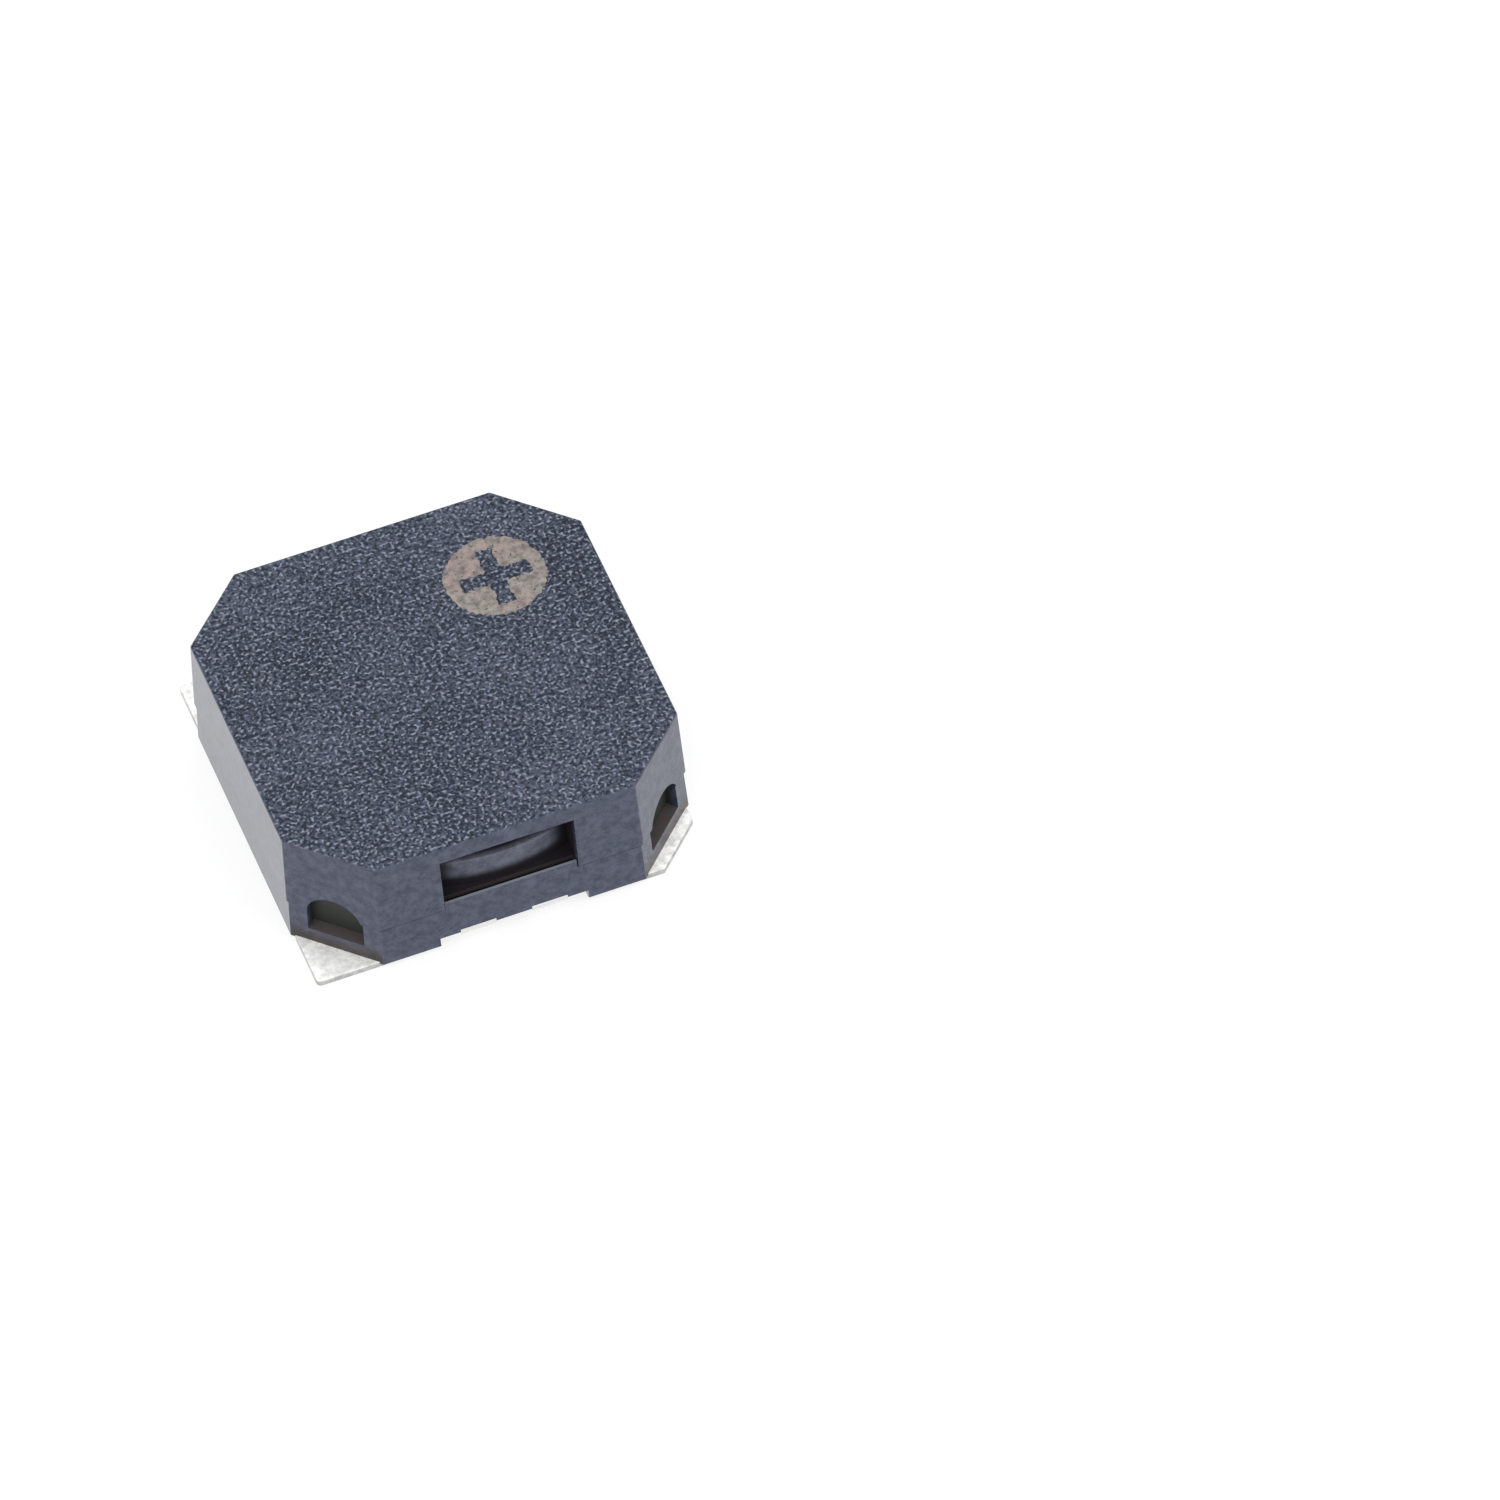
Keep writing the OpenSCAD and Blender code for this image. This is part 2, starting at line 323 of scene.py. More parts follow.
def housing_zones() -> bpy.types.NodeTree:
    """Makes or finds the masks of the housing's zones, from the place and the facing of a point.

    The inputs are millimetres in the frame of the part, with X and Y counted without their signs.

    Returns:
        A group with the outputs Textured for the grained level faces, Inside for the walls behind the
        slot, which take painted shade, Lit for the painted light on the ring there, Step for the edge at
        its foot,
        Lip for a painted highlight on the ledge under the slot, Niche for painted shade in the hollows in
        the corners, Shelf for their floors and Foot Shade for painted shade along the lower edges.
    """
    name = "housing_zones"
    if name in bpy.data.node_groups:
        return bpy.data.node_groups[name]
    inputs = {
        "Half Height": 1.5,
        "Grained Beyond": 1.3,
        "Rim": 4.06,
        "Sill": 0.7,
        "Ring Outside": 3.95,
        "Ring Top From": 3.66,
        "Ring Top To": 3.8,
        "Wall Foot": 1.32,
        "Wall Lit": 1.56,
        "Slot Lit": 0.95,
        "Slot End": 1.35,
        "Step Height": 1.1,
        "Step Reach": 0.06,
        "Lip Height": 1.3,
        "Lip Reach": 0.02,
        "Corner": 2.8,
        "Corner Face": 6.93,
        "Corner Back": 6.7,
        "Grime Top": 0.14,
        "Corner Grime": 0.5,
        "Fully Shaded Below": 0.03,
        "Corner Fully Shaded Below": 0.2,
    }
    sheet, given, put = new_group(name, inputs, tuple(zone.value for zone in Zone))
    at = given.outputs
    place = sheet.add("ShaderNodeVectorMath", operation="ABSOLUTE")
    sheet.feed(place.inputs[0], sheet.millimetres())
    axes = sheet.add("ShaderNodeSeparateXYZ")
    sheet.feed(axes.inputs[0], place.outputs[0])
    x, y, z = (axes.outputs[axis] for axis in "XYZ")
    flat = sheet.add("ShaderNodeVectorMath", operation="MULTIPLY")
    sheet.feed(flat.inputs[0], place.outputs[0])
    sheet.feed(flat.inputs[1], (1.0, 1.0, 0.0))
    length = sheet.add("ShaderNodeVectorMath", operation="LENGTH")
    sheet.feed(length.inputs[0], flat.outputs[0])
    radius = length.outputs["Value"]
    level = sheet.add("ShaderNodeGroup", node_tree=level_mask()).outputs["Level"]
    away = sheet.sums("ABSOLUTE", sheet.sums("SUBTRACT", z, at["Half Height"]))
    textured = sheet.sums("MULTIPLY", sheet.sums("GREATER_THAN", away, at["Grained Beyond"]), level)
    corner = sheet.sums("GREATER_THAN", sheet.sums("MINIMUM", x, y), at["Corner"])
    within = sheet.sums("LESS_THAN", sheet.sums("MAXIMUM", x, y), at["Rim"])
    raised = sheet.sums("MULTIPLY", within, sheet.sums("GREATER_THAN", z, at["Sill"]))
    elsewhere = sheet.sums("MAXIMUM", corner, textured)
    # Painted light on the ring behind the slot, fading to painted shade inwards over its top, towards its
    # foot and towards the ends of the slot.
    ring = sheet.sums("LESS_THAN", radius, at["Ring Outside"])
    for fade in (
        sheet.stretch(radius, at["Ring Top From"], at["Ring Top To"]),
        sheet.stretch(z, at["Wall Foot"], at["Wall Lit"]),
        sheet.stretch(x, at["Slot End"], at["Slot Lit"]),
    ):
        ring = sheet.sums("MULTIPLY", ring, fade)
    # Faces behind the slot take painted shade where that painted light does not reach, and a rougher
    # finish without the coat.
    inside = sheet.sums("SUBTRACT", raised, elsewhere, clamp=True)
    near_step = sheet.near(z, at["Step Height"], at["Step Reach"])
    near_lip = sheet.near(z, at["Lip Height"], at["Lip Reach"])
    hollow = sheet.stretch(sheet.sums("ADD", x, y), at["Corner Face"], at["Corner Back"])
    hollow_corner = sheet.sums("MULTIPLY", corner, hollow)
    # Painted shade along the lower edges, reaching higher in the corners.
    foot_shade_top = sheet.sums("ADD", at["Grime Top"], sheet.sums("MULTIPLY", corner, at["Corner Grime"]))
    corner_foot = sheet.sums("MULTIPLY", corner, at["Corner Fully Shaded Below"])
    foot_shade_bottom = sheet.sums("MAXIMUM", at["Fully Shaded Below"], corner_foot)
    masks = {
        Zone.TEXTURED: textured,
        Zone.INSIDE: inside,
        Zone.LIT: ring,
        Zone.STEP: sheet.sums("MULTIPLY", inside, near_step),
        # Painted highlight on the ledge under the slot.
        Zone.LIP: sheet.sums("MULTIPLY", level, near_lip),
        # Painted shade in the hollows of the corners.
        Zone.NICHE: sheet.sums("SUBTRACT", hollow_corner, level, clamp=True),
        Zone.SHELF: sheet.sums("MULTIPLY", corner, level),
        # Painted shade along the lower edges, darker towards the bottom.
        Zone.GRIME: sheet.stretch(z, foot_shade_top, foot_shade_bottom),
    }
    for zone, mask in masks.items():
        sheet.feed(put.inputs[zone.value], mask)
    return sheet.tree


def mould_grain() -> bpy.types.NodeTree:
    """Makes or finds the grain and the clouding of the moulding.

    Returns:
        A group with the outputs Shade, Glint and Clouds.
    """
    name = "mould_grain"
    if name in bpy.data.node_groups:
        return bpy.data.node_groups[name]
    inputs = {
        "Grain": 9.0,
        "Clouds": 4.0,
        "Drift": 0.35,
        "Drift Middle": 0.5,
        "Unevenness": 0.34,
        "Pit Below": 0.33,
        "Crest Above": 0.75,
        "Glint Fineness": 1.3,
        "Glint Above": 0.52,
        "Bright Above": 0.8,
        "Dark Cloud": 0.3,
        "Light Cloud": 0.7,
    }
    sheet, given, put = new_group(name, inputs, ("Shade", "Glint", "Clouds"))
    at = given.outputs
    place = sheet.millimetres()
    coarse = sheet.noise(place, at["Grain"], detail=1.0)
    drift = sheet.noise(place, at["Drift"], detail=3.0, rough=0.6)
    uneven = sheet.sums("MULTIPLY", sheet.sums("SUBTRACT", drift, at["Drift Middle"]), at["Unevenness"])
    shade = sheet.stretch(sheet.sums("ADD", coarse, uneven), at["Pit Below"], at["Crest Above"])
    fibres = sheet.noise(place, sheet.sums("MULTIPLY", at["Grain"], at["Glint Fineness"]), detail=0.0)
    clouds = sheet.noise(place, at["Clouds"], detail=4.0, rough=0.8)
    sheet.feed(put.inputs["Shade"], shade)
    sheet.feed(put.inputs["Glint"], sheet.stretch(fibres, at["Glint Above"], at["Bright Above"]))
    sheet.feed(put.inputs["Clouds"], sheet.stretch(clouds, at["Dark Cloud"], at["Light Cloud"]))
    return sheet.tree


def metal_marks() -> bpy.types.NodeTree:
    """Makes or finds the marks on bare metal, drawn out along its axes.

    Returns:
        A group with the outputs Mask and Height.
    """
    name = "metal_marks"
    if name in bpy.data.node_groups:
        return bpy.data.node_groups[name]
    inputs = {
        "Marks": 4.0,
        "Along X": 1.0,
        "Along Y": 1.0,
        "Along Z": 1.0,
        "Fineness": 6.0,
        "Fine Share": 0.3,
        "Light Below": 0.32,
        "Dark Above": 0.68,
    }
    sheet, given, put = new_group(name, inputs, ("Mask", "Height"))
    at = given.outputs
    along = sheet.add("ShaderNodeCombineXYZ")
    for axis in "XYZ":
        sheet.feed(along.inputs[axis], at["Along " + axis])
    drawn = sheet.add("ShaderNodeVectorMath", operation="MULTIPLY")
    sheet.feed(drawn.inputs[0], sheet.millimetres())
    sheet.feed(drawn.inputs[1], along.outputs[0])
    broad = sheet.noise(drawn.outputs[0], at["Marks"], detail=4.0, rough=0.6)
    finer = sheet.sums("MULTIPLY", at["Marks"], at["Fineness"])
    fine = sheet.sums("MULTIPLY", sheet.noise(drawn.outputs[0], finer, detail=2.0), at["Fine Share"])
    sheet.feed(put.inputs["Mask"], sheet.stretch(broad, at["Light Below"], at["Dark Above"]))
    sheet.feed(put.inputs["Height"], sheet.sums("ADD", broad, fine))
    return sheet.tree


def new_material(name: str) -> tuple[bpy.types.Material, NodeSheet, bpy.types.Node]:
    """Starts a material.

    Args:
        name: name of the material.

    Returns:
        The material, its sheet and its Principled shader.
    """
    material = bpy.data.materials.new(name)
    material.use_nodes = True
    return material, NodeSheet(material.node_tree), material.node_tree.nodes["Principled BSDF"]


@dataclass(frozen=True)
class MouldedFinish:
    """Black moulding, smooth on its sides, with a grain of glinting glass fibre on its level faces.

    Attributes:
        name: name of the material.
        pit, crest, glint: colours of the grain, from its hollows to its fibres.
        side_dark, side_light: colours that cloud the smooth sides.
        painted_wall_light_dark, painted_wall_light: painted light on the ring behind the slot, clouded.
        painted_slot_shade: painted shade behind the slot, out of that light.
        step, shelf: colours of the other zones.
        lip: painted highlight on the ledge under the slot.
        painted_niche_shade, grime: painted shade in the hollows of the corners and along the lower edges.
        grain: blots of the grain to a millimetre.
        depth: depth of the grain.
        shine: specular level.
        gloss: weight of the smooth skin on the sides.
        least_gloss: share of the gloss where the clouds are dark.
        side_rough, top_rough: roughness of the sides and of the grain.
    """

    name: str
    pit: Colour = (0.003, 0.006, 0.016)
    crest: Colour = (0.062, 0.075, 0.113)
    glint: Colour = (0.185, 0.208, 0.262)
    side_dark: Colour = (0.034, 0.044, 0.08)
    side_light: Colour = (0.09, 0.104, 0.164)
    # Painted light on the ring behind the slot, clouded, and painted shade out of it.
    painted_wall_light_dark: Colour = (0.1, 0.11, 0.145)
    painted_wall_light: Colour = (0.19, 0.205, 0.26)
    painted_slot_shade: Colour = (0.018, 0.016, 0.02)
    step: Colour = (0.075, 0.062, 0.066)
    # Painted highlight on the ledge under the slot.
    lip: Colour = (0.2, 0.21, 0.25)
    # Painted shade in the hollows of the corners.
    painted_niche_shade: Colour = (0.03, 0.036, 0.03)
    shelf: Colour = (0.1, 0.084, 0.084)
    # Painted shade along the lower edges.
    grime: Colour = (0.03, 0.021, 0.021)
    grain: float = 11.3
    depth: float = 0.016
    shine: float = 0.22
    gloss: float = 0.35
    least_gloss: float = 0.85
    side_rough: float = 0.18
    top_rough: float = 0.5

    def material(self) -> bpy.types.Material:
        """Makes the finish.

        Returns:
            The finish as a material.
        """
        material, sheet, shader = new_material(self.name)
        grain = sheet.add("ShaderNodeGroup", node_tree=mould_grain())
        found = sheet.add("ShaderNodeGroup", node_tree=housing_zones()).outputs
        zones = {zone: found[zone.value] for zone in Zone}
        sheet.feed(grain.inputs["Grain"], self.grain)
        ground = sheet.blend(grain.outputs["Shade"], self.pit, self.crest)
        speckled = sheet.blend(grain.outputs["Glint"], ground, self.glint)
        side = sheet.blend(grain.outputs["Clouds"], self.side_dark, self.side_light)
        # Painted light on the ring behind the slot, and painted shade out of it.
        painted_wall_light = sheet.blend(grain.outputs["Clouds"], self.painted_wall_light_dark, self.painted_wall_light)
        painted_slot_light_and_shade = sheet.blend(zones[Zone.LIT], self.painted_slot_shade, painted_wall_light)
        colour = sheet.blend(zones[Zone.INSIDE], side, painted_slot_light_and_shade)
        tones = {
            Zone.STEP: self.step,
            # Painted shade in the hollows of the corners.
            Zone.NICHE: self.painted_niche_shade,
            Zone.SHELF: self.shelf,
            # Painted highlight on the ledge under the slot.
            Zone.LIP: self.lip,
            # Painted shade along the lower edges.
            Zone.GRIME: self.grime,
        }
        for zone, tone in tones.items():
            colour = sheet.blend(zones[zone], colour, tone)
        sheet.feed(shader.inputs["Base Color"], sheet.blend(zones[Zone.TEXTURED], colour, speckled))
        recessed = sheet.sums("MAXIMUM", zones[Zone.NICHE], zones[Zone.INSIDE])
        dull = sheet.sums("MAXIMUM", recessed, zones[Zone.TEXTURED])
        sheet.feed(shader.inputs["Roughness"], sheet.share_out(dull, (self.side_rough, self.top_rough)))
        sheen = sheet.share_out(grain.outputs["Clouds"], (self.least_gloss * self.gloss, self.gloss))
        sheet.feed(shader.inputs["Coat Weight"], sheet.share_out(dull, (sheen, 0.0)))
        sheet.feed(shader.inputs["Coat Roughness"], self.side_rough)
        sheet.feed(shader.inputs["Specular IOR Level"], self.shine)
        height = sheet.sums("MULTIPLY", grain.outputs["Shade"], zones[Zone.TEXTURED])
        sheet.feed(shader.inputs["Normal"], sheet.bump(height, self.depth))
        return material


@dataclass(frozen=True)
class MetalFinish:
    """Bare or plated metal with the marks of its making, with painted shade on its upright faces, cut
    edges among them.

    Attributes:
        name: name of the material.
        light, dark: colours between and on the marks.
        pattern: how the marks are drawn out.
        marks: marks to a millimetre.
        smooth, dull: roughness between and on the marks.
        depth: depth of the marks.
        metallic: share of bare metal in the shine.
        cut: brightness of the upright faces, cut edges among them, as a share of the level faces: painted
            shade.
    """

    name: str
    light: Colour
    dark: Colour
    pattern: Pattern
    marks: float
    smooth: float
    dull: float
    depth: float = 0.004
    metallic: float = 1.0
    # Share of brightness left on upright faces by painted shade.
    cut: float = 0.7

    def with_upright_shade(self, colour: Colour) -> Colour:
        """Returns a colour darkened by painted shade, as on an upright face."""
        return tuple(self.cut * part for part in colour)

    def material(self) -> bpy.types.Material:
        """Makes the finish.

        Returns:
            The finish as a material.
        """
        material, sheet, shader = new_material(self.name)
        marks = sheet.add("ShaderNodeGroup", node_tree=metal_marks())
        sheet.feed(marks.inputs["Marks"], self.marks)
        for axis, share in zip("XYZ", self.pattern.value):
            sheet.feed(marks.inputs["Along " + axis], share)
        mask = marks.outputs["Mask"]
        level = sheet.add("ShaderNodeGroup", node_tree=level_mask())
        faces = sheet.blend(mask, self.light, self.dark)
        # Upright faces, cut edges among them, take darker copies of the colours as painted shade.
        sides = sheet.blend(mask, self.with_upright_shade(self.light), self.with_upright_shade(self.dark))
        sheet.feed(shader.inputs["Base Color"], sheet.blend(level.outputs["Level"], sides, faces))
        sheet.feed(shader.inputs["Roughness"], sheet.share_out(mask, (self.smooth, self.dull)))
        sheet.feed(shader.inputs["Normal"], sheet.bump(marks.outputs["Height"], self.depth))
        sheet.feed(shader.inputs["Metallic"], self.metallic)
        return material


@dataclass(frozen=True)
class MarkFinish:
    """Area of the moulding bleached to a chalky taupe.

    Attributes:
        name: name of the material.
        chalk, rosy, worn, bare: colours, from the most bleached to the least.
        tints, blotches, specks: spots of each kind to a millimetre.
        tinted, blotched, specked, roughened: noise between which each effect sets in.
        roughness: roughness between the specks and on them.
        depth: depth of the specks.
    """

    name: str
    chalk: Colour = (0.25, 0.224, 0.2)
    rosy: Colour = (0.25, 0.198, 0.185)
    worn: Colour = (0.1, 0.09, 0.086)
    bare: Colour = (0.04, 0.042, 0.05)
    tints: float = 1.0
    tinted: Span = (0.4, 0.6)
    blotches: float = 5.0
    blotched: Span = (0.35, 0.7)
    specks: float = 12.0
    specked: Span = (0.6, 0.72)
    roughened: Span = (0.3, 0.7)
    roughness: Span = (0.6, 0.85)
    depth: float = 0.006

    def material(self) -> bpy.types.Material:
        """Makes the finish.

        Returns:
            The finish as a material.
        """
        material, sheet, shader = new_material(self.name)
        place = sheet.millimetres()
        blotch = sheet.stretch(sheet.noise(place, self.blotches, detail=4.0, rough=0.65), *self.blotched)
        specks = sheet.noise(place, self.specks, detail=2.0)
        tint = sheet.stretch(sheet.noise(place, self.tints, detail=2.0), *self.tinted)
        ground = sheet.blend(blotch, sheet.blend(tint, self.chalk, self.rosy), self.worn)
        broken = sheet.stretch(specks, *self.specked)
        sheet.feed(shader.inputs["Base Color"], sheet.blend(broken, ground, self.bare))
        sheet.feed(shader.inputs["Roughness"], sheet.stretch(specks, *self.roughened, self.roughness))
        sheet.feed(shader.inputs["Normal"], sheet.bump(specks, self.depth))
        return material


def clear_selection() -> None:
    """Leaves edit mode and deselects everything, because an operator acts on all that is selected."""
    if bpy.context.object is not None and bpy.context.object.mode != "OBJECT":
        bpy.ops.object.mode_set(mode="OBJECT")
    bpy.ops.object.select_all(action="DESELECT")


def take_up(piece: bpy.types.Object) -> None:
    """Makes a piece the only one selected and active.

    Args:
        piece: object to take up.
    """
    clear_selection()
    piece.select_set(True)
    bpy.context.view_layer.objects.active = piece


def pick_vertices(piece: bpy.types.Object, test: Callable[[Vector], bool]) -> None:
    """Opens a piece in edit mode with some of its vertices selected.

    Args:
        piece: mesh to open.
        test: true for the place of a vertex that is to be selected.
    """
    take_up(piece)
    bpy.ops.object.mode_set(mode="EDIT")
    bpy.ops.mesh.select_mode(type="VERT")
    bpy.ops.mesh.select_all(action="DESELECT")
    bpy.ops.object.mode_set(mode="OBJECT")
    for vertex in piece.data.vertices:
        vertex.select = test(vertex.co)
    bpy.ops.object.mode_set(mode="EDIT")


def modify(piece: bpy.types.Object, kind: str, **settings: object) -> None:
    """Adds a modifier to a piece and applies it.

    Args:
        piece: mesh to change.
        kind: Blender's name of the modifier type.
        settings: properties of the modifier.
    """
    take_up(piece)
    bpy.ops.object.modifier_add(type=kind)
    modifier = piece.modifiers[-1]
    for key, value in settings.items():
        setattr(modifier, key, value)
    bpy.ops.object.modifier_apply(modifier=modifier.name)


def combine(piece: bpy.types.Object, tool: bpy.types.Object, joining: Joining) -> None:
    """Joins a tool to a piece, or cuts it out, and removes the tool.

    Args:
        piece: mesh to change.
        tool: closed mesh.
        joining: what becomes of the tool.
    """
    modify(piece, "BOOLEAN", operation=joining.value, object=tool, solver="EXACT")
    bpy.data.objects.remove(tool)


def block(size: Point, centre: Point, turn: float = 0.0) -> bpy.types.Object:
    """Adds a block to be joined to a piece or cut out of it.

    Args:
        size: lengths of its sides.
        centre: its middle.
        turn: its turn about Z, in radians.

    Returns:
        The block.
    """
    clear_selection()
    bpy.ops.mesh.primitive_cube_add(size=1.0, location=centre, rotation=(0.0, 0.0, turn), scale=size)
    bpy.ops.object.transform_apply(location=True, rotation=True, scale=True)
    return bpy.context.object


def cut_off(piece: bpy.types.Object, point: Point, normal: Point) -> None:
    """Cuts off what lies beyond a plane.

    Args:
        piece: mesh to cut.
        point: a point on the plane.
        normal: direction of the side that is cut off.
    """
    take_up(piece)
    bpy.ops.object.mode_set(mode="EDIT")
    bpy.ops.mesh.select_all(action="SELECT")
    bpy.ops.mesh.bisect(plane_co=point, plane_no=normal, clear_outer=True)
    bpy.ops.object.mode_set(mode="OBJECT")


def raise_sheet(piece: bpy.types.Object, height: float) -> None:
    """Extrudes a flat outline upwards into a closed sheet.

    Args:
        piece: flat mesh.
        height: thickness of the sheet.
    """
    take_up(piece)
    bpy.ops.object.mode_set(mode="EDIT")
    bpy.ops.mesh.select_all(action="SELECT")
    bpy.ops.mesh.extrude_region_move(TRANSFORM_OT_translate={"value": (0.0, 0.0, height)})
    bpy.ops.mesh.select_all(action="SELECT")
    bpy.ops.mesh.normals_make_consistent(inside=False)
    bpy.ops.object.mode_set(mode="OBJECT")


def hand_over(
    piece: bpy.types.Object, name: str, material: bpy.types.Material
) -> bpy.types.Object:
    """Brings a finished piece to metres, dresses it and lets it ride on the frame.

    Args:
        piece: mesh in millimetres.
        name: name of the piece.
        material: its finish.

    Returns:
        The piece.
    """
    take_up(piece)
    piece.name = piece.data.name = name
    piece.scale = (MM, MM, MM)
    bpy.ops.object.transform_apply(location=True, rotation=True, scale=True)
    piece.data.materials.clear()
    piece.data.materials.append(material)
    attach(piece, "root")
    LOG.info("%s: %d faces", name, len(piece.data.polygons))
    return piece


@dataclass
class TinnedTerminal:
    """Sheet terminal with the soft edges of its tin skin, in place of the CAD node.

    Attributes:
        node: CAD node that it stands for.
        corner: where it lies.
        body: width of the body.
        lugged: whether it ends in a lug for a coil lead.
        strip: width of pad left beyond the corner cut of the body, or 0 for a whole pad.
        pad_x, pad_y: lengths of the pad, counted from the sides of the body.
        sheet: thickness of the sheet.
        inset: distance of the pad from the sides of the body.
        inner_cut: how far the inner corner of the pad is cut back.
        outer_round: rounding of the outer corner.
        corner_cut: leg of the corner cut of the body.
        riser_width: width of the upright part.
        anchor_top, lug_top: heights at which the sheet ends, without and with a lug.
        lug_length: length of the lug.
        edge_round: rounding of the edges by the tin.
        corner_steps, edge_steps: faces in a rounding.
        rounded_from, smooth_up_to: angles between faces, in degrees.
    """

    node: str
    corner: Corner
    body: float
    lugged: bool = False
    strip: float = 0.0
    pad_x: float = 1.5
    pad_y: float = 1.4
    sheet: float = 0.15
    inset: float = 0.07
    inner_cut: float = 0.37
    outer_round: float = 0.1
    corner_cut: float = 1.46
    riser_width: float = 0.8
    anchor_top: float = 0.65
    lug_top: float = 1.13
    lug_length: float = 0.4
    edge_round: float = 0.025
    corner_steps: int = 5
    edge_steps: int = 3
    rounded_from: float = 30.0
    smooth_up_to: float = 40.0

    def outward(self, distance: float, height: float) -> Point:
        """Returns the point at a distance from the middle towards the corner, at a height."""
        x, y = self.corner.value
        return (x * distance / math.sqrt(2.0), y * distance / math.sqrt(2.0), height)

    def riser_distance(self) -> float:
        """Returns how far the inner face of the riser is from the middle."""
        return (self.body - self.pad_x - self.pad_y + self.inner_cut) / math.sqrt(2.0)

    def pad(self) -> bpy.types.Object:
        """Models the flat pad with its cut and rounded corners.

        Returns:
            The pad as a closed sheet.
        """
        x, y = self.corner.value
        half = self.body / 2.0
        clear_selection()
        bpy.ops.mesh.primitive_plane_add(size=1.0)
        piece = bpy.context.object
        bpy.ops.object.mode_set(mode="EDIT")
        bpy.ops.transform.resize(value=(self.pad_x - self.inset, self.pad_y - self.inset, 1.0))
        middle = (half - (self.pad_x + self.inset) / 2.0, half - (self.pad_y + self.inset) / 2.0)
        bpy.ops.transform.translate(value=(x * middle[0], y * middle[1], 0.0))
        cut_off(piece, self.outward(self.riser_distance(), 0.0), (-x, -y, 0.0))
        if self.strip > 0.0:
            reach = (self.body - self.corner_cut) / math.sqrt(2.0) + self.strip
            cut_off(piece, self.outward(reach, 0.0), (x, y, 0.0))
        else:
            edge = self.body - 2.0 * self.inset - self.outer_round
            pick_vertices(piece, lambda co: co.x * x + co.y * y > edge)
            bpy.ops.mesh.bevel(offset=self.outer_round, segments=self.corner_steps, affect="VERTICES")
            bpy.ops.object.mode_set(mode="OBJECT")
        raise_sheet(piece, self.sheet)
        return piece

    def stand_riser(self, piece: bpy.types.Object) -> None:
        """Joins the upright part of the sheet to the pad, and the lug where there is one.

        Args:
            piece: the pad.
        """
        x, y = self.corner.value
        turn = math.atan2(y, x)
        inner = self.riser_distance()
        top = self.lug_top if self.lugged else self.anchor_top
        foot = self.sheet / 2.0
        middle = self.outward(inner + foot, (foot + top) / 2.0)
        riser = block((self.sheet, self.riser_width, top - foot), middle, turn)
        combine(piece, riser, Joining.ADDED)
        if self.lugged:
            place = self.outward(inner + self.lug_length / 2.0, top - foot)
            lug = block((self.lug_length, self.riser_width, self.sheet), place, turn)
            combine(piece, lug, Joining.ADDED)

    def build(self, material: bpy.types.Material) -> bpy.types.Object:
        """Models the terminal.

        Args:
            material: its finish.

        Returns:
            The finished piece.
        """
        piece = self.pad()
        self.stand_riser(piece)
        modify(
            piece,
            "BEVEL",
            width=self.edge_round,
            segments=self.edge_steps,
            limit_method="ANGLE",
            angle_limit=math.radians(self.rounded_from),
        )
        bpy.ops.object.shade_smooth_by_angle(angle=math.radians(self.smooth_up_to))
        hand_over(piece, self.node + "_tinned", material)
        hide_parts(self.node)
        return piece


